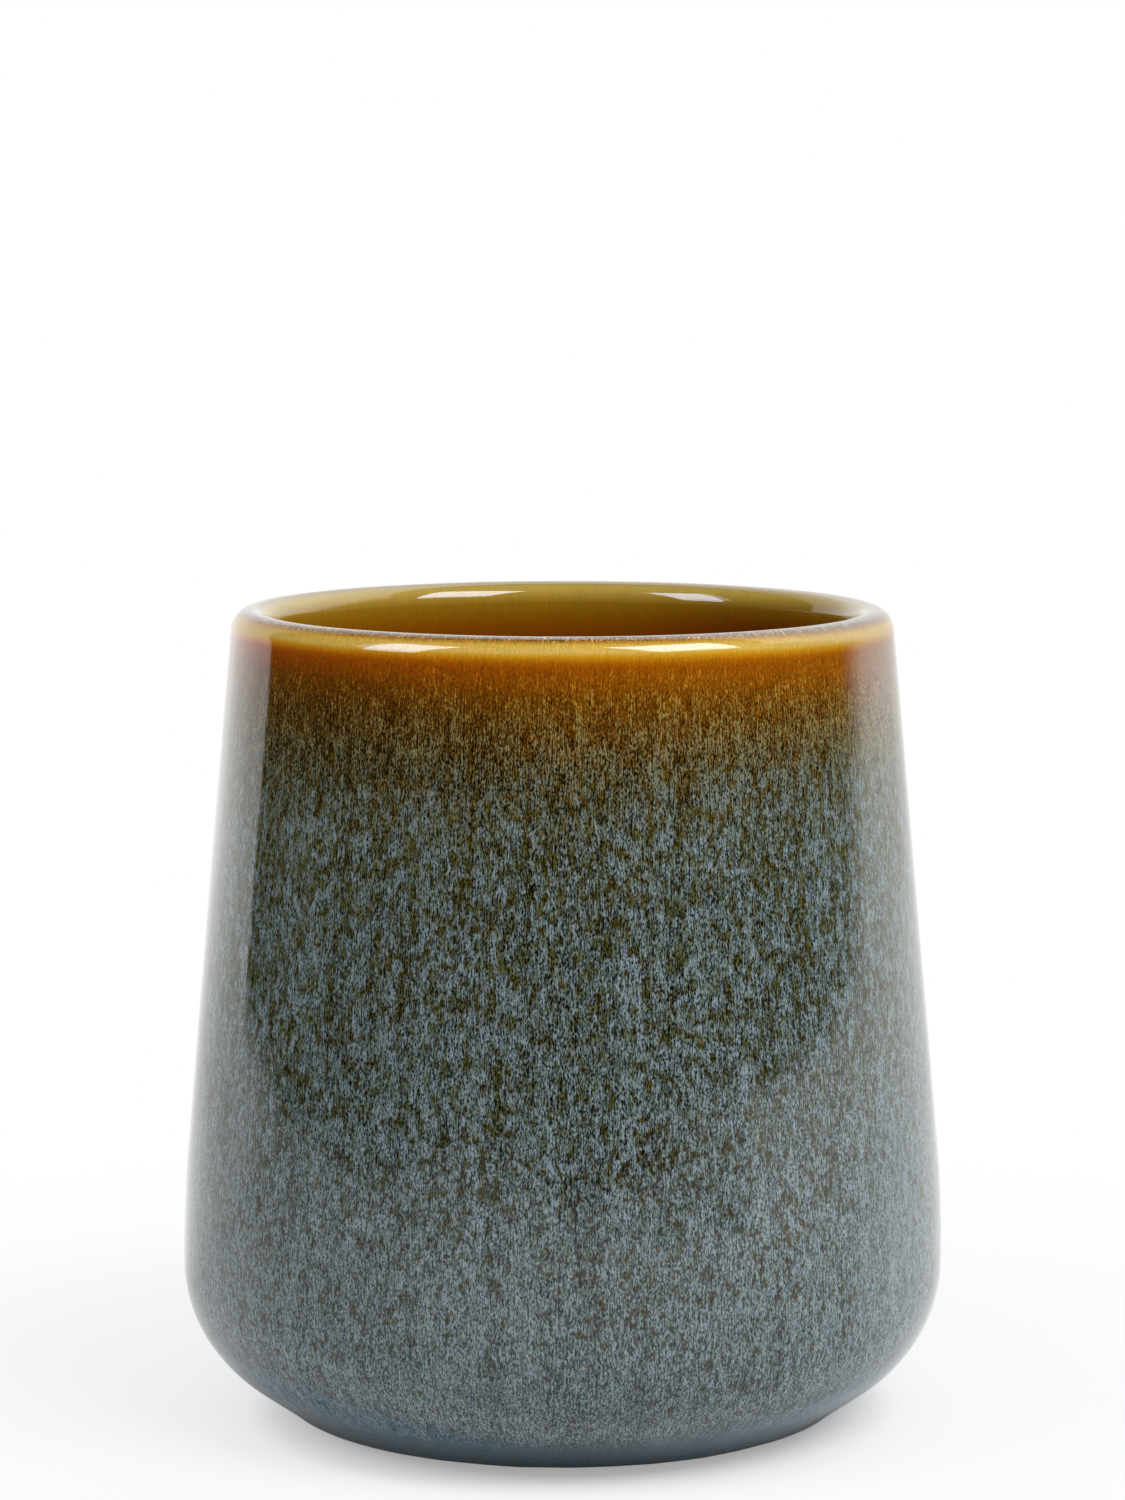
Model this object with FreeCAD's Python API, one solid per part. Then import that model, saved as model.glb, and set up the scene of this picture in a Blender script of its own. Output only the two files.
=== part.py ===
import FreeCAD, Part
import os
from math import cos, radians, sin, tan

# Toothbrush holder: a glazed stoneware tumbler, turned about the Z axis.
# Origin: centre of the base, on the surface that the foot ring stands on. +Z runs up to the lip.
# Lengths are in millimetres and angles in degrees.

# Finished outside, glaze included
height = 105.0
rim_radius = 42.8              # of the wall's line where it meets the height of the lip
wall_lean = 5.3                # the wall leans inwards on its way up
belly_radius = 125.0           # slow curve below the straight wall
belly_end_turn = 1.4           # the belly ends turned this far under
heel_radius = 18.1             # quick curve under the belly
bevel_turn = 54.7              # the heel ends turned this far under, and the bevel runs on to the foot
bevel_height = 4.7             # of the heel's lower end above the foot

# Wall and coats
wall_thickness = 5.2           # clay and both coats; the lip is a full round of it
glaze_thickness = 0.5          # outer coat and liner
base_glaze_thickness = 0.3
glaze_edge_height = 0.6        # the outer coat stops this far above the foot

# Foot ring and the recess inside it
foot_rounding = 1.2            # outer edge of the ring
foot_width = 4.4               # flat of the ring
ring_rounding = 0.5            # inner edge of the ring
recess_depth = 2.2             # up to the glazed ceiling
recess_corner = 1.0            # between the ring and the ceiling, in the clay

# Directions in the section, as a turn from straight outwards to straight down
down = 90.0
up = -90.0
inwards = 180.0
outwards = 0.0
quarter_turn = 90.0
half_turn = 180.0
full_turn = 360.0

lip_radius = wall_thickness / 2
lean = -wall_lean


def point(radius, level):
    return FreeCAD.Vector(radius, 0, level)


def at(centre, distance, turn):
    """The point at a distance from a centre, in a direction given as a turn."""
    return point(centre.x + distance * cos(radians(turn)), centre.z - distance * sin(radians(turn)))


def line(start, end):
    return Part.LineSegment(start, end).toShape()


def arc(centre, radius, start_turn, end_turn):
    middle_turn = (start_turn + end_turn) / 2
    start = at(centre, radius, start_turn)
    middle = at(centre, radius, middle_turn)
    end = at(centre, radius, end_turn)
    return Part.Arc(start, middle, end).toShape()


def section_centres():
    """Centres of the heel, the belly and the lip: the levels run up from the foot, the radii down from the lip."""
    heel_level = bevel_height + heel_radius * sin(radians(bevel_turn))
    belly_level = heel_level + (belly_radius - heel_radius) * sin(radians(belly_end_turn))
    wall_end = belly_level - belly_radius * sin(radians(lean))
    wall_end_radius = rim_radius + (height - wall_end) * tan(radians(wall_lean))
    belly_centre = point(wall_end_radius - belly_radius * cos(radians(lean)), belly_level)
    heel_centre = at(belly_centre, belly_radius - heel_radius, belly_end_turn)
    lip_offset = lip_radius / cos(radians(wall_lean)) - lip_radius * tan(radians(wall_lean))
    lip_centre = point(rim_radius - lip_offset, height - lip_radius)
    return heel_centre, belly_centre, lip_centre


heel_centre, belly_centre, lip_centre = section_centres()


def bevel_point(depth, level):
    """The point at a level on the bevel, or on the layer at a depth below it."""
    heel_end = at(heel_centre, heel_radius - depth, bevel_turn)
    return point(heel_end.x - (heel_end.z - level) * tan(radians(bevel_turn)), level)


def wall_edges(depth, heel_end_turn):
    """Wall, belly and heel of the layer at a depth below the finished outside."""
    wall_top = at(lip_centre, lip_radius - depth, lean)
    wall_foot = at(belly_centre, belly_radius - depth, lean)
    wall = line(wall_top, wall_foot)
    belly = arc(belly_centre, belly_radius - depth, lean, belly_end_turn)
    heel = arc(heel_centre, heel_radius - depth, belly_end_turn, heel_end_turn)
    return [wall, belly, heel]


def outer_side(depth, bevel_end):
    """From the top of the lip down the outside to a point on the bevel."""
    half_lip = arc(lip_centre, lip_radius - depth, up, lean)
    bevel = line(at(heel_centre, heel_radius - depth, bevel_turn), bevel_end)
    return [half_lip] + wall_edges(depth, bevel_turn) + [bevel]


def inner_side(depth):
    """From the top of the lip down the inside and along the floor to the axis."""
    half_lip = arc(lip_centre, depth - lip_radius, up, lean - half_turn)
    floor = line(at(heel_centre, heel_radius - depth, down), floor_centre(depth))
    return [half_lip] + wall_edges(depth, down) + [floor]


def floor_centre(depth):
    return point(0, heel_centre.z - (heel_radius - depth))


def lip_break():
    """The line at the top of the lip where the outer coat and the liner meet."""
    return line(at(lip_centre, lip_radius - glaze_thickness, up), at(lip_centre, lip_radius, up))


def turned(edges):
    """The solid that a closed outline makes when it is turned about the Z axis."""
    outline = Part.Wire(Part.sortEdges(edges)[0])
    return Part.Face(outline).revolve(point(0, 0), FreeCAD.Vector(0, 0, 1), full_turn)


def recess_corner_centre():
    """Centre of the rounding between the ring's inner side and the clay ceiling of the recess."""
    foot_centre = bevel_point(glaze_thickness + foot_rounding, foot_rounding)
    ring_side = foot_centre.x - foot_width - ring_rounding
    ceiling = recess_depth + base_glaze_thickness
    return point(ring_side - recess_corner, ceiling - recess_corner)


def stoneware_body():
    """The clay: lip, wall, floor, bare foot ring and the recess inside the ring."""
    foot_centre = bevel_point(glaze_thickness + foot_rounding, foot_rounding)
    ring_centre = point(foot_centre.x - foot_width, ring_rounding)
    corner_centre = recess_corner_centre()
    ceiling_edge = at(corner_centre, recess_corner, up)
    ceiling_centre = point(0, ceiling_edge.z)
    inner_depth = wall_thickness - glaze_thickness
    edges = outer_side(glaze_thickness, at(foot_centre, foot_rounding, bevel_turn))
    edges += [
        arc(foot_centre, foot_rounding, bevel_turn, down),
        line(at(foot_centre, foot_rounding, down), at(ring_centre, ring_rounding, down)),
        arc(ring_centre, ring_rounding, down, inwards),
        line(at(ring_centre, ring_rounding, inwards), at(corner_centre, recess_corner, outwards)),
        arc(corner_centre, recess_corner, outwards, up),
        line(ceiling_edge, ceiling_centre),
        line(ceiling_centre, floor_centre(inner_depth)),
    ]
    edges += inner_side(inner_depth)
    return turned(edges)


def outer_glaze():
    """The outer coat, from the top of the lip to a rounded edge just above the bare foot."""
    bead_centre = bevel_point(glaze_thickness, glaze_edge_height + glaze_thickness)
    bead_start = at(bead_centre, glaze_thickness, bevel_turn)
    bead_end_turn = bevel_turn + quarter_turn
    bead_end = at(bead_centre, glaze_thickness, bead_end_turn)
    edges = outer_side(0, bead_start)
    edges.append(arc(bead_centre, glaze_thickness, bevel_turn, bead_end_turn))
    edges += outer_side(glaze_thickness, bead_end)
    edges.append(lip_break())
    return turned(edges)


def liner_glaze():
    """The coat on the inside, from the top of the lip over the wall and the floor."""
    inner_depth = wall_thickness - glaze_thickness
    edges = inner_side(wall_thickness)
    edges.append(line(floor_centre(wall_thickness), floor_centre(inner_depth)))
    edges += inner_side(inner_depth)
    edges.append(lip_break())
    return turned(edges)


def base_glaze():
    """The coat on the recess's ceiling and corner, with a rounded edge on the ring's inner side."""
    centre = recess_corner_centre()
    finished_corner = recess_corner - base_glaze_thickness
    bead_centre = at(centre, recess_corner, outwards)
    clay_edge = at(centre, recess_corner, up)
    finished_edge = at(centre, finished_corner, up)
    edges = [
        line(point(0, clay_edge.z), clay_edge),
        arc(centre, recess_corner, up, outwards),
        line(bead_centre, at(bead_centre, base_glaze_thickness, down)),
        arc(bead_centre, base_glaze_thickness, down, inwards),
        arc(centre, finished_corner, outwards, up),
        line(finished_edge, point(0, finished_edge.z)),
        line(point(0, finished_edge.z), point(0, clay_edge.z)),
    ]
    return turned(edges)


os.makedirs("parts", exist_ok=True)
for make in (stoneware_body, outer_glaze, liner_glaze, base_glaze):
    solid = make()
    solid.exportStep("parts/" + make.__name__ + ".step")
    print(make.__name__, "valid" if solid.isValid() else "broken", round(solid.Volume), "mm3")
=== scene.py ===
from collections import namedtuple
from math import cos, hypot, pi, radians, sin, tan

import bpy
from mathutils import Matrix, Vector, noise

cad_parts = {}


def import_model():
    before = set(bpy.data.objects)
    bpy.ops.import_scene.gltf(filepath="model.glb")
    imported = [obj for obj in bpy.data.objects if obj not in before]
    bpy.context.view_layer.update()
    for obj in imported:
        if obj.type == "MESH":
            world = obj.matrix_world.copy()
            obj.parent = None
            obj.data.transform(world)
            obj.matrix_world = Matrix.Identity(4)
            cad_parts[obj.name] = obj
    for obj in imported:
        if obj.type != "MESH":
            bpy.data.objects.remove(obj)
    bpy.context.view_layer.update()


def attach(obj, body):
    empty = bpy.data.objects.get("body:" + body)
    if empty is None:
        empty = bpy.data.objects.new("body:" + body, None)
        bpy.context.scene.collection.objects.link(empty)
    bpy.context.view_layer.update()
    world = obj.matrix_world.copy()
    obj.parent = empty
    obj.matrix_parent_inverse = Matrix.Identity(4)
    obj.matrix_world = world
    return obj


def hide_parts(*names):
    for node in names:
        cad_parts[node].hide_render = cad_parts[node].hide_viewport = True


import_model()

# Toothbrush holder: a glazed stoneware tumbler, turned about the Z axis. The clay and its three coats of
# glaze are made again here as fine meshes with the glaze's own unevenness, on the same section as the CAD
# part. Sections are worked out in millimetres and written to the meshes in metres.
MM = 0.001

# Finished outside, glaze included
HEIGHT = 105.0
RIM_RADIUS = 42.8
WALL_LEAN = 5.3
BELLY_RADIUS = 125.0
BELLY_END_TURN = 1.4
HEEL_RADIUS = 18.1
BEVEL_TURN = 54.7
BEVEL_HEIGHT = 4.7

# Wall, coats, foot ring and recess
WALL_THICKNESS = 5.2
GLAZE = 0.5
BASE_GLAZE = 0.3
GLAZE_EDGE_HEIGHT = 0.6
FOOT_ROUNDING = 1.2
FOOT_WIDTH = 4.4
RING_ROUNDING = 0.5
RECESS_DEPTH = 2.2
RECESS_CORNER = 1.0

# Directions in the section, as a turn from straight outwards to straight down
UP, OUTWARDS, DOWN, INWARDS = -90.0, 0.0, 90.0, 180.0
LIP_RADIUS = WALL_THICKNESS / 2
LEAN = -WALL_LEAN

# Meshes
COAT_SEGMENTS = 384
CLAY_SEGMENTS = 256
WALL_STEP = 0.75                          # between rings on the visible surfaces
HIDDEN_STEP = 6.0                         # between rings where a coat lies on the clay
CLAY_STEP = HIDDEN_STEP / 2               # between rings on the clay under the coats
LIP_TURNS = (0, 0.4, 1.2, 2.6, 5, 8, 12, 17, 23, 29, 35, 42, 49, 56, 63, 70, 77, 84, 90, 95.3)
SAME_POINT = 1e-4                         # points nearer than this are one
ON_AXIS = 1e-6                            # a ring smaller than this is one point

# Unevenness of the fired glaze: how high, over what distance, and where in the noise it starts
SWELL_HEIGHT, SWELL_LENGTH, SWELL_START = 0.045, 24.0, Vector((3.1, 7.7, 1.9))
RIPPLE_HEIGHT, RIPPLE_LENGTH, RIPPLE_START = 0.014, 7.5, Vector((11.3, 2.4, 5.6))
BEAD_HEIGHT, BEAD_REACH = 0.14, 3.3       # the glaze rolls up where it stops

# The glaze edge above the foot wanders up and down, with a second, finer wander on the first
EDGE_SHIFT, EDGE_LENGTH = 0.35, 9.0
EDGE_RADIUS = 36.0                        # of the circle that the edge follows
FINE_SHARE, FINE_RATE, FINE_START = 0.45, 2.7, Vector((0, 0, 4.2))

FLOW_RADIUS = 47.0                        # of the cylinder that the flow coordinate wraps round

# A ring of a turned surface: its radius and level, the direction that the surface faces there, the
# distance along the section, and how far it follows the glaze's unevenness and the glaze's wandering edge
Ring = namedtuple("Ring", "radius level out rise run relief edge")


# Section

def at(centre, distance, turn):
    """The point at a distance from a centre, in a direction given as a turn."""
    return centre[0] + distance * cos(radians(turn)), centre[1] - distance * sin(radians(turn))


def section_centres():
    """Centres of the heel, the belly and the lip, as (radius, level)."""
    heel_level = BEVEL_HEIGHT + HEEL_RADIUS * sin(radians(BEVEL_TURN))
    belly_level = heel_level + (BELLY_RADIUS - HEEL_RADIUS) * sin(radians(BELLY_END_TURN))
    wall_end = belly_level - BELLY_RADIUS * sin(radians(LEAN))
    wall_end_radius = RIM_RADIUS + (HEIGHT - wall_end) * tan(radians(WALL_LEAN))
    belly = (wall_end_radius - BELLY_RADIUS * cos(radians(LEAN)), belly_level)
    heel = at(belly, BELLY_RADIUS - HEEL_RADIUS, BELLY_END_TURN)
    offset = LIP_RADIUS / cos(radians(WALL_LEAN)) - LIP_RADIUS * tan(radians(WALL_LEAN))
    return heel, belly, (RIM_RADIUS - offset, HEIGHT - LIP_RADIUS)


HEEL, BELLY, LIP = section_centres()


def bevel_point(depth, level):
    """The point at a level on the bevel, or on the layer at a depth below it."""
    end = at(HEEL, HEEL_RADIUS - depth, BEVEL_TURN)
    return end[0] - (end[1] - level) * tan(radians(BEVEL_TURN)), level


def steps(length, step):
    return max(1, round(length / step))


def apart(p, q):
    return hypot(q[0] - p[0], q[1] - p[1])


def around(centre, radius, turns, facing=1):
    """Points and outward directions round a centre. Facing is -1 where the surface looks at the centre."""
    return [(*at(centre, radius, t), facing * cos(radians(t)), -facing * sin(radians(t))) for t in turns]


def arc(centre, radius, start, end, step, facing=1):
    """Points and outward directions along an arc."""
    count = steps(abs(radius * radians(end - start)), step)
    return around(centre, radius, [start + (end - start) * i / count for i in range(count + 1)], facing)


def line(start, end, step, facing=1):
    """Points and outward directions along a line. The surface looks to the left of the way along it, or with
    facing -1 to the right."""
    along, rise = end[0] - start[0], end[1] - start[1]
    length = hypot(along, rise)
    count = steps(length, step)
    out, up = -rise / length * facing, along / length * facing
    return [(start[0] + along * i / count, start[1] + rise * i / count, out, up) for i in range(count + 1)]


def joined(*runs):
    """The runs as one list, without the points that two runs share."""
    points = []
    for run in runs:
        for p in run:
            if not points or apart(p, points[-1]) > SAME_POINT:
                points.append(p)
    return points


def lip_half(depth, side):
    """The outer half of the lip (side 1) or the inner half (side -1), from its top."""
    if side > 0:
        radius, end = LIP_RADIUS - depth, LEAN
    else:
        radius, end = depth - LIP_RADIUS, LEAN - 180
    return around(LIP, radius, [UP + (end - UP) * t / LIP_TURNS[-1] for t in LIP_TURNS])


def wall_side(depth, heel_end, step, facing=1):
    """Wall, belly and heel at a depth below the finished outside, from the lip down."""
    return joined(
        line(at(LIP, LIP_RADIUS - depth, LEAN), at(BELLY, BELLY_RADIUS - depth, LEAN), step, facing),
        arc(BELLY, BELLY_RADIUS - depth, LEAN, BELLY_END_TURN, step, facing),
        arc(HEEL, HEEL_RADIUS - depth, BELLY_END_TURN, heel_end, step, facing),
    )


def outer_side(depth, bevel_end, step):
    """From the top of the lip down the outside to a point on the bevel."""
    return joined(
        lip_half(depth, 1),
        wall_side(depth, BEVEL_TURN, step),
        line(at(HEEL, HEEL_RADIUS - depth, BEVEL_TURN), bevel_end, step),
    )


def inner_side(depth, step):
    """From the top of the lip down the inside and along the floor to the axis."""
    floor_edge = at(HEEL, HEEL_RADIUS - depth, DOWN)
    return joined(
        lip_half(depth, -1),
        wall_side(depth, DOWN, step, -1),
        line(floor_edge, (0, floor_edge[1]), step, -1),
    )


def rings(points, relief=0.0, edge_reach=0.0):
    """Rings through the points of a section. Relief says how far they follow the glaze's unevenness. With
    an edge reach, the last rings also follow its wandering edge, more the nearer they are to the end."""
    runs = [0.0]
    for p, q in zip(points, points[1:]):
        runs.append(runs[-1] + apart(p, q))
    edges = [max(0.0, 1 - (runs[-1] - run) / edge_reach) if edge_reach else 0.0 for run in runs]
    return [Ring(*p, run, relief, edge) for p, run, edge in zip(points, runs, edges)]


# Meshes

def unevenness(place):
    """How far the glaze stands out of its even thickness at a place, in millimetres."""
    swell = noise.noise(place / SWELL_LENGTH + SWELL_START)
    ripple = noise.noise(place / RIPPLE_LENGTH + RIPPLE_START)
    return SWELL_HEIGHT * swell + RIPPLE_HEIGHT * ripple


def edge_shift(angle):
    """How far the glaze edge is up or down from its line at an angle round the foot."""
    circle = Vector((cos(angle), sin(angle), 0.0)) * (EDGE_RADIUS / EDGE_LENGTH)
    return EDGE_SHIFT * (noise.noise(circle) + FINE_SHARE * noise.noise(circle * FINE_RATE + FINE_START))


def ring_point(ring, angle):
    """A vertex in millimetres, with the unevenness of the glaze."""
    c, s = cos(angle), sin(angle)
    radius, level = ring.radius, ring.level
    if ring.relief:
        place = Vector((radius * c, radius * s, level))
        rise = ring.relief * unevenness(place) + BEAD_HEIGHT * ring.edge ** 2
        radius += ring.out * rise
        level += ring.rise * rise
    if ring.edge:
        slide = ring.edge * edge_shift(angle)
        radius -= sin(radians(BEVEL_TURN)) * slide
        level -= cos(radians(BEVEL_TURN)) * slide
    return radius * c, radius * s, level


def signed_volume(vertices, faces):
    total = 0.0
    for face in faces:
        a = Vector(vertices[face[0]])
        for p, q in zip(face[1:], face[2:]):
            total += a.dot(Vector(vertices[p]).cross(Vector(vertices[q])))
    return total


def added(name, data):
    """An object in the scene, made of a mesh, a light or a camera."""
    made = bpy.data.objects.new(name, data)
    bpy.context.scene.collection.objects.link(made)
    return made


def faces_between(a, b, lone_a, lone_b, segments):
    """Faces between two rings, given by their first vertices. A lone ring is one point on the axis."""
    if lone_a and lone_b:
        return []
    pairs = [(i, (i + 1) % segments) for i in range(segments)]
    if lone_a:
        return [(a, b + j, b + i) for i, j in pairs]
    if lone_b:
        return [(a + i, a + j, b) for i, j in pairs]
    return [(a + i, a + j, b + j, b + i) for i, j in pairs]


def lathe(name, outline, segments, sharp=()):
    """A closed mesh made by turning a closed outline of rings about the Z axis, as an object in the scene.
    The rings in sharp keep a crease."""
    vertices, flow, first, lone = [], [], [], []
    for ring in outline:
        first.append(len(vertices))
        lone.append(ring.radius < ON_AXIS)
        for i in range(1 if lone[-1] else segments):
            angle = 2 * pi * i / segments
            vertices.append(tuple(v * MM for v in ring_point(ring, angle)))
            flow += (FLOW_RADIUS * cos(angle), FLOW_RADIUS * sin(angle), ring.run)
    faces = []
    for k in range(len(outline)):
        n = (k + 1) % len(outline)
        faces += faces_between(first[k], first[n], lone[k], lone[n], segments)
    mesh = bpy.data.meshes.new(name)
    mesh.from_pydata(vertices, [], faces)
    if signed_volume(vertices, faces) < 0:
        mesh.flip_normals()
    mesh.polygons.foreach_set("use_smooth", [True] * len(mesh.polygons))
    mesh.attributes.new("flow", "FLOAT_VECTOR", "POINT").data.foreach_set("vector", flow)
    creased = [range(first[k], first[k] + segments) for k in sharp]
    ends = [tuple(edge.vertices) for edge in mesh.edges]
    crease = [any(v in span and w in span for span in creased) for v, w in ends]
    mesh.edges.foreach_set("use_edge_sharp", crease)
    mesh.update()
    return added(name, mesh)


# Pieces. The number after an arc's turns or a line's ends is the step between its rings.

def outer_coat():
    """The outer coat, from the top of the lip to a rolled, slightly wandering edge above the bare foot."""
    bead = bevel_point(GLAZE, GLAZE_EDGE_HEIGHT + GLAZE)
    bead_end = BEVEL_TURN + 90
    front = joined(
        outer_side(0, at(bead, GLAZE, BEVEL_TURN), WALL_STEP),
        arc(bead, GLAZE, BEVEL_TURN, bead_end, 0.1),
    )
    back = outer_side(GLAZE, at(bead, GLAZE, bead_end), HIDDEN_STEP)
    shown = rings(front, 1.0, BEAD_REACH)
    hidden = [ring._replace(run=0.0) for ring in rings(back)[:-1]]
    return lathe("outer_glaze_coat", shown + hidden[::-1], COAT_SEGMENTS, (0, len(shown) - 1))


def liner_coat():
    """The coat on the inside, from the top of the lip over the wall and the floor."""
    shown = rings(inner_side(WALL_THICKNESS, WALL_STEP), 1.0)
    hidden = rings(inner_side(WALL_THICKNESS - GLAZE, HIDDEN_STEP))
    return lathe("liner_glaze_coat", shown + hidden[::-1], COAT_SEGMENTS, (0,))


def recess_corner():
    """Centre of the rounding between the ring's inner side and the clay ceiling of the recess."""
    foot = bevel_point(GLAZE + FOOT_ROUNDING, FOOT_ROUNDING)
    ring_side = foot[0] - FOOT_WIDTH - RING_ROUNDING
    return ring_side - RECESS_CORNER, RECESS_DEPTH + BASE_GLAZE - RECESS_CORNER


def clay():
    """The clay: lip, wall, floor, bare foot ring and the recess inside the ring."""
    foot = bevel_point(GLAZE + FOOT_ROUNDING, FOOT_ROUNDING)
    ring = (foot[0] - FOOT_WIDTH, RING_ROUNDING)
    corner = recess_corner()
    ceiling = at(corner, RECESS_CORNER, UP)
    outside = joined(
        lip_half(GLAZE, 1),
        wall_side(GLAZE, BEVEL_TURN, CLAY_STEP),
        line(at(HEEL, HEEL_RADIUS - GLAZE, BEVEL_TURN), at(foot, FOOT_ROUNDING, BEVEL_TURN), 0.4),
        arc(foot, FOOT_ROUNDING, BEVEL_TURN, DOWN, 0.12),
        line(at(foot, FOOT_ROUNDING, DOWN), at(ring, RING_ROUNDING, DOWN), 0.5),
        arc(ring, RING_ROUNDING, DOWN, INWARDS, 0.08),
        line(at(ring, RING_ROUNDING, INWARDS), at(corner, RECESS_CORNER, OUTWARDS), 0.3),
        arc(corner, RECESS_CORNER, OUTWARDS, UP, 0.15),
        line(ceiling, (0, ceiling[1]), HIDDEN_STEP),
    )
    inside = rings(inner_side(WALL_THICKNESS - GLAZE, CLAY_STEP))[1:]
    return lathe("clay_body", rings(outside) + inside[::-1], CLAY_SEGMENTS)


def base_coat():
    """The coat on the recess's ceiling and corner, with a rounded edge on the ring's inner side."""
    centre = recess_corner()
    finished = RECESS_CORNER - BASE_GLAZE
    clay_edge = at(centre, RECESS_CORNER, UP)
    ceiling = at(centre, finished, UP)
    shown = joined(
        line((0, ceiling[1]), ceiling, WALL_STEP, -1),
        arc(centre, finished, UP, OUTWARDS, 0.1, -1),
        arc(at(centre, RECESS_CORNER, OUTWARDS), BASE_GLAZE, INWARDS, DOWN, 0.06),
    )
    hidden = joined(
        arc(centre, RECESS_CORNER, OUTWARDS, UP, 0.2),
        line(clay_edge, (0, clay_edge[1]), HIDDEN_STEP),
    )
    return lathe("base_glaze_coat", rings(shown, 0.6) + rings(hidden), CLAY_SEGMENTS, (len(shown) - 1,))


# Materials

SEED_STEPS = (17.3, 5.9, 11.7)            # how far apart two seeds are in the noise


class Graph:
    """A node tree, with short calls for the nodes that the materials use."""

    def __init__(self, tree):
        tree.nodes.clear()
        self.tree = tree

    def node(self, kind, **settings):
        made = self.tree.nodes.new(kind)
        for name, value in settings.items():
            setattr(made, name, value)
        return made

    def feed(self, socket, value):
        if isinstance(value, bpy.types.NodeSocket):
            self.tree.links.new(value, socket)
        elif isinstance(value, tuple) and len(value) == 3 and len(socket.default_value) == 4:
            socket.default_value = (*value, 1.0)
        else:
            socket.default_value = value

    def math(self, operation, *values):
        made = self.node("ShaderNodeMath", operation=operation)
        for socket, value in zip(made.inputs, values):
            self.feed(socket, value)
        return made.outputs[0]

    def add(self, *values):
        total = values[0]
        for value in values[1:]:
            total = self.math("ADD", total, value)
        return total

    def times(self, *values):
        product = values[0]
        for value in values[1:]:
            product = self.math("MULTIPLY", product, value)
        return product

    def less(self, a, b):
        return self.math("SUBTRACT", a, b)

    def larger(self, a, b):
        return self.math("MAXIMUM", a, b)

    def smaller(self, a, b):
        return self.math("MINIMUM", a, b)

    def centred(self, value, size):
        """A noise value turned into one round zero, and made larger or smaller."""
        return self.math("MULTIPLY_ADD", value, size, -size / 2)

    def rise(self, value, start, end, low=0.0, high=1.0):
        """Smoothly from low to high as the value goes from start to end."""
        made = self.node("ShaderNodeMapRange", interpolation_type="SMOOTHSTEP")
        names = ("Value", "From Min", "From Max", "To Min", "To Max")
        for name, number in zip(names, (value, start, end, low, high)):
            self.feed(made.inputs[name], number)
        return made.outputs["Result"]

    def noise(self, vector, width, height, detail=0.0, roughness=0.5, seed=0.0):
        """Noise with grains of a width round the tumbler and a height along the flow, in millimetres."""
        place = self.node("ShaderNodeMapping")
        self.feed(place.inputs["Vector"], vector)
        place.inputs["Scale"].default_value = (1 / width, 1 / width, 1 / height)
        place.inputs["Location"].default_value = [seed * step for step in SEED_STEPS]
        made = self.node("ShaderNodeTexNoise", noise_dimensions="3D")
        self.feed(made.inputs["Vector"], place.outputs[0])
        made.inputs["Scale"].default_value = 1.0
        made.inputs["Detail"].default_value = detail
        made.inputs["Roughness"].default_value = roughness
        return made.outputs["Fac"]

    def ramp(self, value, stops, span=1.0):
        """What changes along the stops, each a place and a colour or number, for values from 0 to span."""
        made = self.node("ShaderNodeValToRGB")
        elements = made.color_ramp.elements
        while len(elements) < len(stops):
            elements.new(1.0)
        for element, (place, colour) in zip(elements, stops):
            element.position = place / span
            element.color = (*colour, 1.0) if isinstance(colour, tuple) else (colour, colour, colour, 1.0)
        self.feed(made.inputs[0], value if span == 1.0 else self.times(value, 1 / span))
        return made.outputs[0]

    def mix(self, factor, a, b, blend="MIX"):
        made = self.node("ShaderNodeMix", data_type="RGBA", blend_type=blend)
        self.feed(made.inputs[0], factor)
        self.feed(made.inputs[6], a)
        self.feed(made.inputs[7], b)
        return made.outputs[2]

    def shaded(self, colour, brightness):
        """The colour times a brightness."""
        made = self.node("ShaderNodeVectorMath", operation="SCALE")
        self.feed(made.inputs[0], colour)
        self.feed(made.inputs["Scale"], brightness)
        return made.outputs[0]

    def bump(self, height, distance):
        """A bump from a height of 0 to 1. The distance is how high 1 is, in millimetres."""
        made = self.node("ShaderNodeBump")
        made.inputs["Distance"].default_value = distance * MM
        self.feed(made.inputs["Height"], height)
        return made.outputs[0]

    def parts(self, vector):
        made = self.node("ShaderNodeSeparateXYZ")
        self.feed(made.inputs[0], vector)
        return made.outputs

    def rays(self):
        """Whether a ray is the camera's own, and whether gloss or clear glass has sent it on."""
        path = self.node("ShaderNodeLightPath").outputs
        return path["Is Camera Ray"], self.larger(path["Is Glossy Ray"], path["Is Transmission Ray"])

    def either(self, factor, a, b):
        """One shader where the factor is 0, the other where it is 1."""
        made = self.node("ShaderNodeMixShader")
        for socket, value in zip(made.inputs, (factor, a, b)):
            self.feed(socket, value)
        return made.outputs[0]

    def surface(self, shader, kind="Material"):
        self.feed(self.node("ShaderNodeOutput" + kind).inputs["Surface"], shader)

    def finish(self, colour, roughness, ior, normal):
        shader = self.node("ShaderNodeBsdfPrincipled")
        self.feed(shader.inputs["Base Color"], colour)
        self.feed(shader.inputs["Roughness"], roughness)
        shader.inputs["IOR"].default_value = ior
        self.feed(shader.inputs["Normal"], normal)
        self.surface(shader.outputs[0])


def new_material(name):
    material = bpy.data.materials.new(name)
    material.use_nodes = True
    return material, Graph(material.node_tree)


def flow_of(g):
    """The coordinate that follows the glaze's flow, and two of its parts: the distance from the top of the
    lip, and how far to the right of the middle, up to FLOW_RADIUS at the side. All in millimetres."""
    flow = g.node("ShaderNodeAttribute", attribute_name="flow").outputs["Vector"]
    across, _, run = g.parts(flow)
    return flow, run, across


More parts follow.
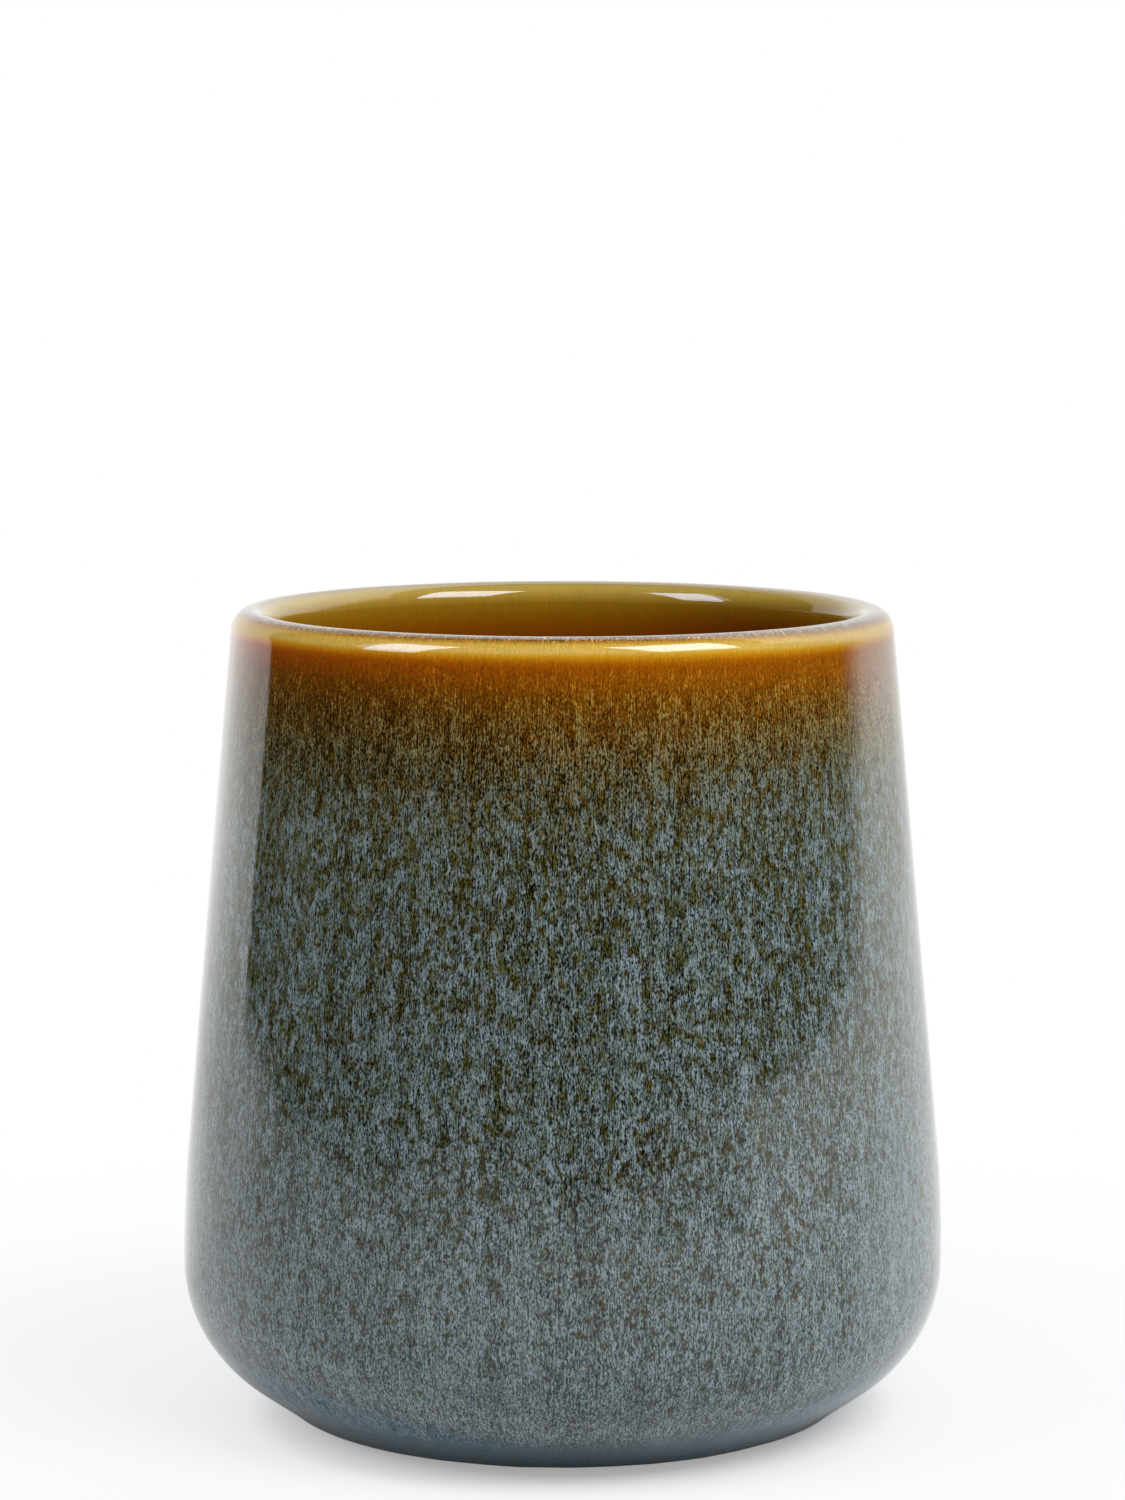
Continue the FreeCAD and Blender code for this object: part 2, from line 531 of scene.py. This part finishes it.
GLAZE_IOR = 1.52
RUN = 115.0                    # span of the ramps along the flow

# Colours of the glass itself by distance from the top of the lip, where crystals have not grown
GLASS = (
    (0.0, (0.22, 0.165, 0.085)),
    (0.5, (0.20, 0.140, 0.070)),
    (0.8, (0.11, 0.073, 0.032)),
    (1.2, (0.20, 0.078, 0.010)),
    (1.6, (0.38, 0.175, 0.013)),
    (2.2, (0.68, 0.42, 0.068)),
    (3.1, (0.73, 0.490, 0.116)),
    (3.6, (0.66, 0.345, 0.014)),
    (4.3, (0.46, 0.145, 0.001)),
    (5.1, (0.315, 0.083, 0.001)),
    (6.8, (0.262, 0.078, 0.001)),
    (9.0, (0.172, 0.055, 0.001)),
    (13.0, (0.108, 0.040, 0.001)),
    (18.0, (0.068, 0.037, 0.002)),
    (30.0, (0.053, 0.050, 0.012)),
    (60.0, (0.048, 0.052, 0.019)),
    (85.0, (0.055, 0.065, 0.045)),
    # From here on, at the bevel above the foot, partly the glaze's own slate blue and partly painted light:
    # lighter and bluer in place of light bounced up from the floor
    (103.0, (0.050, 0.073, 0.076)),
    (107.0, (0.044, 0.125, 0.190)),
    (115.0, (0.040, 0.120, 0.185)),
)

# Colours of the crystals by the same distance
CRYSTALS = (
    (0.0, (0.30, 0.25, 0.20)),
    (1.0, (0.34, 0.24, 0.15)),
    (1.5, (0.38, 0.24, 0.11)),
    (2.0, (0.74, 0.56, 0.18)),
    (4.0, (0.60, 0.32, 0.03)),
    (7.0, (0.37, 0.192, 0.018)),
    (11.0, (0.156, 0.111, 0.027)),
    (16.0, (0.099, 0.089, 0.043)),
    (22.0, (0.088, 0.102, 0.076)),
    (34.0, (0.083, 0.108, 0.100)),
    (60.0, (0.083, 0.109, 0.106)),
    (80.0, (0.093, 0.128, 0.130)),
    (98.0, (0.097, 0.141, 0.149)),
    (101.5, (0.140, 0.184, 0.188)),
    # From here on, at the bevel, partly the crystals' own slate blue and partly painted light: lighter and
    # bluer in place of light bounced up from the floor
    (104.5, (0.078, 0.112, 0.128)),
    (107.0, (0.048, 0.130, 0.200)),
    (115.0, (0.044, 0.125, 0.195)),
)

# How far the crystals cover the glass, by the same distance
COVER = (
    (0.0, 0.40),
    (1.2, 0.10),
    (4.5, 0.12),
    (8.0, 0.22),
    (12.0, 0.34),
    (17.0, 0.46),
    (24.0, 0.56),
    (40.0, 0.62),
    (58.0, 0.66),
    (72.0, 0.72),
    (90.0, 0.75),
    (103.0, 0.80),
    (108.0, 0.90),
)

# How strong the pattern is, by the same distance
PATTERN = (
    (0.0, 0.5),
    (0.8, 0.80),
    (1.3, 0.80),
    (1.9, 0.14),
    (3.5, 0.12),
    (6.0, 0.35),
    (10.0, 0.75),
    (16.0, 1.0),
    (60.0, 1.0),
    (80.0, 0.88),
    (98.0, 0.86),
    (103.0, 0.65),
    (105.5, 0.12),
)

# Deep olive-brown pits, and how strongly they show by the same distance
DEEP = (0.036, 0.026, 0.002)
DEEPEST = 0.92
PITS = ((0.0, 0.0), (8.0, 0.0), (14.0, 0.8), (20.0, 1.0), (85.0, 1.0), (99.0, 0.7), (103.0, 0.0))

BLOOM = (0.114, 0.145, 0.160)  # where the crystals grow thickest
PALE_GLAZE_AND_SHEEN = (0.24, 0.21, 0.14)      # partly a pale glaze and partly a painted reflection, over the amber at the far right
PALE_GLAZE_AND_SHEEN_STRENGTH = 0.5
REDDEN = (1.0, 0.80, 0.60)     # what the amber is multiplied by on the left

# Noise in the outer coat: width round the tumbler and height down the flow in millimetres, detail,
# roughness and seed
NOISES = {
    "drift": (11.0, 14.0, 2.0, 0.5, 1),
    "column": (2.6, 34.0, 1.0, 0.5, 6),
    "patch": (1.15, 1.9, 3.0, 0.62, 2),
    "streak": (0.28, 3.6, 2.0, 0.5, 3),
    "grain": (0.20, 0.95, 1.0, 0.6, 4),
    "thread": (0.16, 2.6, 1.0, 0.5, 9),
    "speck": (0.135, 0.36, 0.0, 0.5, 5),
    "pit": (0.62, 0.95, 1.0, 0.55, 8),
    "orange_peel": (1.6, 2.4, 1.0, 0.5, 7),
}

# How much of each noise goes into what
SHIFT = {"drift": 6.0, "streak": 7.0, "column": 4.0}                   # moves the cover up and down
GROWTH = {"patch": 2.4, "grain": 0.8, "streak": 0.9, "column": 0.3}    # where crystals grow and where not
FINE_GROWTH = {"speck": 1.5, "thread": 1.7, "patch": -0.6}             # added to it in the upper part
PITTING = {"patch": -0.5, "drift": 0.3}                                # added to the noise of the pits
SHADE = {"speck": 3.2, "grain": 2.2, "thread": 1.7, "patch": 0.36, "column": 0.5}    # light and dark

# A window is where something begins and where it is full. Two more numbers are its values there, where they
# aren't 0 and 1. Windows of the cover, for crystals and for bloom, and of the noise of the pits:
CRYSTAL_WINDOW, BLOOM_WINDOW, PIT_WINDOW = (0.20, 0.80), (0.62, 1.05), (0.592, 0.70)
# Windows down the flow, by distance from the top of the lip:
SINGLE_RUN = (24.0, 11.0)                 # here the crystals are single specks and threads
BLOOM_RUN = (15.0, 30.0)
SHADE_RUN = (18.0, 8.0, 1.0, 0.6)         # how strong the light and dark are
LEVEL_RUN = (8.0, 14.0, 0.93, 0.99)       # how light the coat is as a whole

# Zones of the outer coat: windows down the flow and windows across the tumbler, which is from -47 at the left
# side to 47 at the right
Zone = namedtuple("Zone", "down across")
LEFT_SIDE, RIGHT_SIDE, RIGHT_EDGE = (5.0, -42.0), (6.0, 44.0), (33.0, 45.0)
LEFT = Zone([(3.5, 9.0)], [LEFT_SIDE])
LOWER_LEFT = Zone([(26.0, 36.0)], [LEFT_SIDE])
RIGHT = Zone([(9.0, 15.0)], [RIGHT_SIDE])
LOWER_RIGHT = Zone([(16.0, 23.0)], [RIGHT_SIDE])
RIGHT_OF_LIP = Zone([(6.0, 3.5)], [(20.0, 42.0)])
FAR_RIGHT = Zone([], [RIGHT_EDGE])
PALE_GLAZE_AND_SHEEN_ZONE = Zone([(2.5, 6.0), (24.0, 9.0)], [(37.0, 45.0)])
REDDER = Zone([(3.0, 4.5), (9.5, 6.0)], [(20.0, -40.0)])

# How far a zone moves the cover, the crystals' colours and the glass's colours along their ramps, in
# millimetres
COVER_MOVES = ((RIGHT, 6.5), (LEFT, -2.5))
CRYSTAL_MOVES = ((LOWER_RIGHT, 8.0), (LOWER_LEFT, 10.0))
GLASS_MOVES = ((LEFT, 2.2), (RIGHT_OF_LIP, -0.5), (LOWER_RIGHT, 3.0))

# How much lighter or darker the coat is in a zone
TONES = (
    (RIGHT_OF_LIP, -0.13),
    (Zone([(3.5, 9.0), (27.0, 19.0)], [LEFT_SIDE]), 0.02),
    (Zone([(3.5, 9.0), (27.0, 19.0)], [LEFT_SIDE, (-45.0, -41.0)]), -0.11),
    # Painted light: these two lighten the right side lower down, in place of light and reflection from the
    # right
    (Zone([(14.0, 22.0)], [RIGHT_SIDE]), 0.07),
    (Zone([(14.0, 22.0)], [RIGHT_EDGE]), 0.07),
    (Zone([(20.0, 28.0)], [LEFT_SIDE]), 0.08),
    # Painted light: these two also lighten the right side, in place of light and reflection from the right
    (Zone([(6.0, 9.0)], [(29.0, 41.0)]), 0.06),
    (Zone([(14.0, 19.0), (34.0, 27.0)], [(25.0, 35.0)]), 0.06),
    (Zone([(22.0, 28.0), (64.0, 56.0)], [(-27.0, -36.0)]), 0.10),
    (Zone([(7.5, 11.5), (22.0, 17.0)], [(5.0, -18.0), (-44.0, -27.0)]), -0.12),
)
CALM = 0.28                               # how much weaker the pattern is at the far right
DARKEST, LIGHTEST, CONTRAST = 0.12, 1.6, 1.65

GLASS_ROUGHNESS, CRYSTAL_ROUGHNESS = 0.045, 0.075
LIP_ROUGHNESS = (1.3, 0.6, 0.0, 0.07)     # added at the top of the lip
PEEL_HEIGHT, GRAIN_SHARE = 0.004, 0.12    # of the orange peel in millimetres, and of the grain in it


def reactive_glaze():
    """Amber glass at the lip that turns into blue-grey crystals in brown glass, streaked the way it ran."""
    material, g = new_material("reactive_glaze")
    flow, run, across = flow_of(g)
    noises = {name: g.noise(flow, *settings) for name, settings in NOISES.items()}

    def blend(amounts):
        return g.add(*(g.centred(noises[name], amount) for name, amount in amounts.items()))

    def inside(zone):
        down = [g.rise(run, *window) for window in zone.down]
        sideways = [g.rise(across, *window) for window in zone.across]
        return g.times(*down, *sideways)

    def zones(rows):
        return g.add(*(g.times(inside(zone), amount) for zone, amount in rows))

    calmed = g.math("MULTIPLY_ADD", inside(FAR_RIGHT), -CALM, 1.0)
    pattern = g.times(g.ramp(run, PATTERN, RUN), calmed)
    growth = g.add(blend(GROWTH), g.times(g.rise(run, *SINGLE_RUN), blend(FINE_GROWTH)))
    cover = g.ramp(g.add(run, blend(SHIFT), zones(COVER_MOVES)), COVER, RUN)
    cover = g.add(cover, g.times(growth, pattern))
    crystal = g.rise(cover, *CRYSTAL_WINDOW)
    bloom = g.times(g.rise(cover, *BLOOM_WINDOW), g.rise(run, *BLOOM_RUN))
    crystals = g.mix(bloom, g.ramp(g.add(run, zones(CRYSTAL_MOVES)), CRYSTALS, RUN), BLOOM)
    colour = g.mix(crystal, g.ramp(g.add(run, zones(GLASS_MOVES)), GLASS, RUN), crystals)
    # Partly painted reflection: a pale veil over the amber at the far right of the upper part
    colour = g.mix(g.times(inside(PALE_GLAZE_AND_SHEEN_ZONE), PALE_GLAZE_AND_SHEEN_STRENGTH), colour, PALE_GLAZE_AND_SHEEN)
    colour = g.mix(inside(REDDER), colour, REDDEN, blend="MULTIPLY")
    pit = g.rise(g.add(noises["pit"], blend(PITTING)), *PIT_WINDOW)
    colour = g.mix(g.times(pit, DEEPEST, g.ramp(run, PITS, RUN)), colour, DEEP)
    shade = g.times(blend(SHADE), pattern, g.rise(run, *SHADE_RUN))
    light = g.add(shade, g.rise(run, *LEVEL_RUN), zones(TONES))
    light = g.smaller(g.larger(light, DARKEST), LIGHTEST)
    colour = g.shaded(colour, g.math("POWER", light, CONTRAST))
    height = g.add(noises["orange_peel"], g.times(noises["grain"], GRAIN_SHARE))
    roughness = g.rise(crystal, 0.0, 1.0, GLASS_ROUGHNESS, CRYSTAL_ROUGHNESS)
    roughness = g.add(roughness, g.rise(run, *LIP_ROUGHNESS))
    g.finish(colour, roughness, GLAZE_IOR, g.bump(height, PEEL_HEIGHT))
    return material


# Colours of the liner by distance from the top of the lip
AMBER = (
    (0.0, (0.24, 0.18, 0.090)),
    (0.8, (0.28, 0.20, 0.09)),
    (2.0, (0.46, 0.33, 0.065)),
    (4.5, (0.40, 0.205, 0.009)),
    (7.0, (0.32, 0.104, 0.001)),
    (9.5, (0.25, 0.054, 0.001)),
    (20.0, (0.19, 0.038, 0.001)),
    (90.0, (0.16, 0.036, 0.001)),
    (115.0, (0.12, 0.030, 0.001)),
)
RED_AND_SHADE = (0.72, 0.48, 0.60)      # what the amber is multiplied by on the right: redder, and darker as painted shade


def amber_glaze():
    """Clear amber glass on the inside, paler where it runs thin over the lip and darker where it pools."""
    material, g = new_material("amber_glaze")
    flow, run, across = flow_of(g)
    streak = g.noise(flow, 1.1, 30.0, 2.0, 0.5, seed=11)
    fleck = g.noise(flow, 0.4, 1.4, 2.0, 0.6, seed=12)
    glass = g.ramp(g.add(run, g.times(g.centred(streak, 2.5), g.rise(run, 2.0, 7.0))), AMBER, RUN)
    # Painted shade: on the right of the inside the amber is made darker as well as redder
    red_and_shaded = g.times(g.rise(across, 8.0, 40.0), g.rise(run, 3.0, 7.0))
    glass = g.mix(red_and_shaded, glass, RED_AND_SHADE, blend="MULTIPLY")
    shade = g.times(g.add(g.centred(streak, 0.5), g.centred(fleck, 0.4)), g.rise(run, 1.0, 6.0, 0.25))
    colour = g.shaded(glass, g.math("EXPONENT", shade))
    normal = g.bump(g.noise(flow, 1.6, 3.0, 1.0, seed=13), 0.004)
    g.finish(colour, g.rise(run, 1.3, 0.6, 0.05, 0.12), GLAZE_IOR, normal)
    return material


def position_of(g):
    """The place in the object in millimetres."""
    made = g.node("ShaderNodeVectorMath", operation="MULTIPLY")
    g.feed(made.inputs[0], g.node("ShaderNodeTexCoord").outputs["Object"])
    g.feed(made.inputs[1], (1 / MM, 1 / MM, 1 / MM))
    return made.outputs[0]


SLATE = ((0.25, (0.050, 0.060, 0.052)), (0.50, (0.085, 0.110, 0.115)), (0.75, (0.140, 0.170, 0.175)))
SLATE_ROUGHNESS = 0.08


def slate_glaze():
    """The dark blue-grey coat in the recess under the base."""
    material, g = new_material("slate_glaze")
    place = position_of(g)
    cloud = g.noise(place, 5.0, 5.0, 3.0, 0.6, seed=21)
    speck = g.noise(place, 0.35, 0.35, 2.0, 0.6, seed=22)
    colour = g.ramp(g.add(cloud, g.centred(speck, 0.5)), SLATE)
    normal = g.bump(g.noise(place, 1.8, 1.8, 1.0, seed=23), 0.005)
    g.finish(colour, SLATE_ROUGHNESS, GLAZE_IOR, normal)
    return material


CLAY = ((0.3, (0.27, 0.19, 0.125)), (0.7, (0.40, 0.31, 0.22)))
GRIT = (0.10, 0.065, 0.04)
CLAY_ROUGHNESS, CLAY_IOR = 0.85, 1.5


def bare_stoneware():
    """Buff-brown fired clay with dark grit."""
    material, g = new_material("bare_stoneware")
    place = position_of(g)
    cloud = g.noise(place, 6.0, 6.0, 3.0, 0.6, seed=31)
    grit = g.noise(place, 0.35, 0.35, 1.0, 0.5, seed=32)
    colour = g.mix(g.rise(grit, 0.66, 0.72), g.ramp(cloud, CLAY), GRIT)
    tooth = g.add(g.noise(place, 0.25, 0.25, 3.0, 0.7, seed=33), g.times(cloud, 0.5))
    g.finish(colour, CLAY_ROUGHNESS, CLAY_IOR, g.bump(tooth, 0.03))
    return material


# Floor. Lengths in its material are in metres, x to the right and y away from the camera.

# The floor stops under the foot ring, so light reaches the base
FLOOR_RADII = (34.2, 60, 100, 180, 320, 600, 1700)
FLOOR_SEGMENTS = 96
FLOOR_COLOUR = (0.84, 0.84, 0.84, 1.0)

# How far the floor has turned into the white background for the camera, by distance from its shade's middle
SHADE_MIDDLE = (0.0015, -0.006, 0.0)
FLOOR_LIFT = (
    (0.032, 0.34),
    (0.039, 0.54),
    (0.043, 0.73),
    (0.050, 0.79),
    (0.060, 0.81),
    (0.080, 0.84),
    (0.100, 0.89),
    (0.130, 0.96),
    (0.170, 1.0),
)
# The same in what the glaze mirrors, by distance from the axis
FLOOR_MIRRORED = ((0.034, 0.0), (0.042, 0.10), (0.050, 0.43), (0.080, 0.76), (0.120, 0.96), (0.170, 1.0))

# How bright the white floor is in what the glaze mirrors: from left to right, then towards one value far in
# front, then brighter behind on the left and close beside the tumbler
GLOSS_ACROSS = (-0.30, 0.60, 0.7, 1.5)
FRONT_GLOSS, FRONT_SLANT, FRONT_EDGE, FRONT_REACH = 0.65, 0.7, (0.10, -0.10), (0.36, 0.54)
BEHIND_EDGE, BEHIND_ACROSS = (0.0, 0.14), (0.05, -0.05, 0.0, 0.45)
BESIDE_FRONT, BESIDE_REAR, BESIDE_REACH = (-0.04, 0.0), (0.05, 0.0, 0.5, 1.0), (0.34, 0.14, 0.0, 0.35)

# Where the floor ends in what the glaze mirrors: left, right, front and rear, each from none to all
FLOOR_ENDS = ((-0.74, -0.48), (1.10, 0.82), (-1.25, -0.95), (0.70, 0.20))


def mirrored_floor(g, x, y, distance):
    """How bright the white floor is in what the glaze mirrors."""
    gloss = g.rise(x, *GLOSS_ACROSS)
    slant = g.add(g.times(x, FRONT_SLANT), y)
    front = g.times(g.rise(slant, *FRONT_EDGE), g.rise(distance, *FRONT_REACH))
    behind = g.times(g.rise(y, *BEHIND_EDGE), g.rise(x, *BEHIND_ACROSS))
    beside = g.times(g.rise(y, *BESIDE_FRONT), g.rise(y, *BESIDE_REAR), g.rise(distance, *BESIDE_REACH))
    return g.add(gloss, g.times(front, g.less(FRONT_GLOSS, gloss)), behind, beside)


def floor_paint():
    """Pale paint that keeps the tumbler's shade, turns white further out and is clear from below."""
    material, g = new_material("floor")
    place = g.node("ShaderNodeTexCoord").outputs["Object"]
    x, y, _ = g.parts(place)
    length = g.node("ShaderNodeVectorMath", operation="LENGTH")
    g.feed(length.inputs[0], place)
    distance = length.outputs["Value"]
    from_shade = g.node("ShaderNodeVectorMath", operation="DISTANCE")
    g.feed(from_shade.inputs[0], place)
    from_shade.inputs[1].default_value = SHADE_MIDDLE
    seen, mirrored = g.rays()
    to_camera = g.ramp(from_shade.outputs["Value"], FLOOR_LIFT, FLOOR_LIFT[-1][0])
    to_glaze = g.ramp(distance, FLOOR_MIRRORED, FLOOR_MIRRORED[-1][0])
    away = g.add(g.times(seen, to_camera), g.times(mirrored, to_glaze))
    paint = g.node("ShaderNodeBsdfDiffuse")
    paint.inputs["Color"].default_value = FLOOR_COLOUR
    white = g.node("ShaderNodeEmission")
    gloss = mirrored_floor(g, x, y, distance)
    g.feed(white.inputs["Strength"], g.add(1.0, g.times(mirrored, g.less(gloss, 1.0))))
    shown = g.either(away, paint.outputs[0], white.outputs[0])
    left, right, front, rear = FLOOR_ENDS
    kept = g.times(g.rise(x, *left), g.rise(x, *right), g.rise(y, *front), g.rise(y, *rear))
    below = g.node("ShaderNodeNewGeometry").outputs["Backfacing"]
    gone = g.larger(below, g.times(mirrored, g.less(1.0, kept)))
    g.surface(g.either(gone, shown, g.node("ShaderNodeBsdfTransparent").outputs[0]))
    return material


def floor():
    """A pale floor that shades near the tumbler and turns into the white background further out."""
    n = FLOOR_SEGMENTS
    corners = [(cos(2 * pi * i / n), sin(2 * pi * i / n)) for i in range(n)]
    vertices = [(r * MM * c, r * MM * s, 0.0) for r in FLOOR_RADII for c, s in corners]
    faces = [
        (k * n + i, (k + 1) * n + i, (k + 1) * n + (i + 1) % n, k * n + (i + 1) % n)
        for k in range(len(FLOOR_RADII) - 1) for i in range(n)
    ]
    mesh = bpy.data.meshes.new("floor")
    mesh.from_pydata(vertices, [], faces)
    mesh.materials.append(floor_paint())
    made = added("floor", mesh)


# Light and camera

FILL, BOUNCE = 0.45, 0.85                 # even light from all round, and from beyond the floor's edge
FILL_RIGHT, FILL_BEHIND = 0.21, 0.14      # how much stronger it is from the right and from behind
BOUNCE_EDGE = (0.0, -0.05)                # where the light from below begins
GLOSS_DARK, GLOSS_WHITE = 0.03, 1.5       # what the glaze mirrors: the dim studio and the white backdrop

# The white backdrop by direction: x to the right, y away from the camera and z up. An edge is a window of
# their sum, with the factors given before it.
LEFT_Y, LEFT_UP, LEFT_EDGE, LEFT_FADE = 1.89, -0.8, (-0.03, 0.05), (0.05, 0.80, 0.86, 1.0)
TOP_Y, TOP_X, TOP_EDGE = 1.66, 0.9, (-0.02, 0.02)
SOFT_DOWN, SOFT_EDGE, SOFT_FADE = -4.0, (0.32, 0.68), (0.60, 0.90, 0.92, 0.72)
MIDDLE_FADE = (0.90, 0.99, 1.0, 0.78)     # left of the middle
TILT_UP, TILT_ACROSS = (-0.05, 0.6), (-0.5, 0.3, -0.5, 0.6)


def backdrop(g, x, y, z):
    """How bright the white backdrop is in a direction. It has an upright edge on the left and a level one at
    the top, and is soft on the right. Higher up it is dimmer on the left and brighter on the right."""
    up, down = g.larger(z, 0.0), g.smaller(z, 0.0)
    inside = g.add(x, g.times(y, LEFT_Y), g.times(up, LEFT_UP))
    left = g.times(g.rise(inside, *LEFT_EDGE), g.rise(inside, *LEFT_FADE))
    below_top = g.add(g.times(y, TOP_Y), g.times(g.larger(x, 0.0), TOP_X), g.times(z, -1.0))
    top = g.rise(below_top, *TOP_EDGE)
    beyond = g.add(y, g.times(down, SOFT_DOWN), up)
    right = g.times(g.rise(beyond, *SOFT_EDGE), g.rise(y, *SOFT_FADE))
    on_right = g.math("GREATER_THAN", x, 0.0)
    on_left = g.times(g.less(1.0, on_right), g.rise(y, *MIDDLE_FADE))
    tilt = g.times(g.rise(z, *TILT_UP), g.rise(x, *TILT_ACROSS))
    return g.times(left, top, g.add(g.times(on_right, right), on_left), g.add(1.0, tilt))


def world():
    """Even soft light. The camera sees white all round, and gloss a white backdrop behind a dim studio."""
    scene_world = bpy.data.worlds.new("studio")
    scene_world.use_nodes = True
    bpy.context.scene.world = scene_world
    g = Graph(scene_world.node_tree)
    x, y, z = g.parts(g.node("ShaderNodeTexCoord").outputs["Generated"])
    glossy = g.math("MULTIPLY_ADD", backdrop(g, x, y, z), GLOSS_WHITE - GLOSS_DARK, GLOSS_DARK)
    from_below = g.rise(z, *BOUNCE_EDGE, 0.0, BOUNCE - FILL)
    diffuse = g.add(g.times(x, FILL_RIGHT), g.times(y, FILL_BEHIND), from_below, FILL)
    seen, mirrored = g.rays()
    lit = g.less(1.0, g.larger(seen, mirrored))
    background = g.node("ShaderNodeBackground")
    background.inputs["Color"].default_value = (1.0, 1.0, 1.0, 1.0)
    g.feed(background.inputs["Strength"], g.add(seen, g.times(mirrored, glossy), g.times(lit, diffuse)))
    g.surface(background.outputs[0], "World")


# Each softbox: azimuth from straight in front towards the right, elevation, width, height, radiance, and
# whether it only adds to the reflections
SOFTBOXES = {
    "softbox_left": (-63.5, 38, 0.46, 0.58, 2.6, False),
    "softbox_right": (50.5, 48, 0.54, 0.56, 7.5, False),
    "shine_left": (-61.5, 33, 0.36, 0.68, 9.1, True),
    "shine_right": (51.5, 45, 0.52, 0.60, 5.3, True),
}
# The colour of those that only add to the reflections. It keeps the highlights on the amber from yellowing.
SHINE_TINT = (0.64, 0.77, 1.0)


def softbox(name, azimuth, elevation, width, height, radiance, shine):
    """A soft light one metre from the lip."""
    a, e = radians(azimuth), radians(elevation)
    towards = Vector((sin(a) * cos(e), -cos(a) * cos(e), sin(e)))
    light = bpy.data.lights.new(name, "AREA")
    light.shape = "RECTANGLE"
    light.size, light.size_y = width, height
    light.energy = radiance * pi * width * height
    if shine:
        light.color = SHINE_TINT
    made = added(name, light)
    made.location = Vector((0, 0, HEIGHT * MM)) + towards
    made.rotation_mode = "QUATERNION"
    made.rotation_quaternion = towards.to_track_quat("Z", "Y")
    made.visible_camera = False
    made.visible_diffuse = not shine


# Fitted to the outline in the photograph
LENS, SENSOR = 106.75, 36.0
CAMERA_PLACE = (0.0, -0.5762, 0.1567)
CAMERA_DOWN = 6.97


def camera():
    """The photograph's view, from in front and a little above."""
    lens = bpy.data.cameras.new("camera")
    lens.lens = LENS
    lens.sensor_fit = "AUTO"
    lens.sensor_width = SENSOR
    made = added("camera", lens)
    made.location = CAMERA_PLACE
    made.rotation_euler = (radians(90 - CAMERA_DOWN), 0.0, 0.0)
    bpy.context.scene.camera = made


bpy.context.scene.view_settings.view_transform = "Standard"
camera()
floor()
world()
for name, settings in SOFTBOXES.items():
    softbox(name, *settings)

for make, node, slot, paint in (
    (outer_coat, "outer_glaze", "reactive_glaze", reactive_glaze),
    (liner_coat, "liner_glaze", "amber_glaze", amber_glaze),
    (clay, "stoneware_body", "bare_stoneware", bare_stoneware),
    (base_coat, "base_glaze", "slate_glaze", slate_glaze),
):
    piece = make()
    piece.data.materials.append(paint())
    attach(piece, "root")
    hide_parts(node)
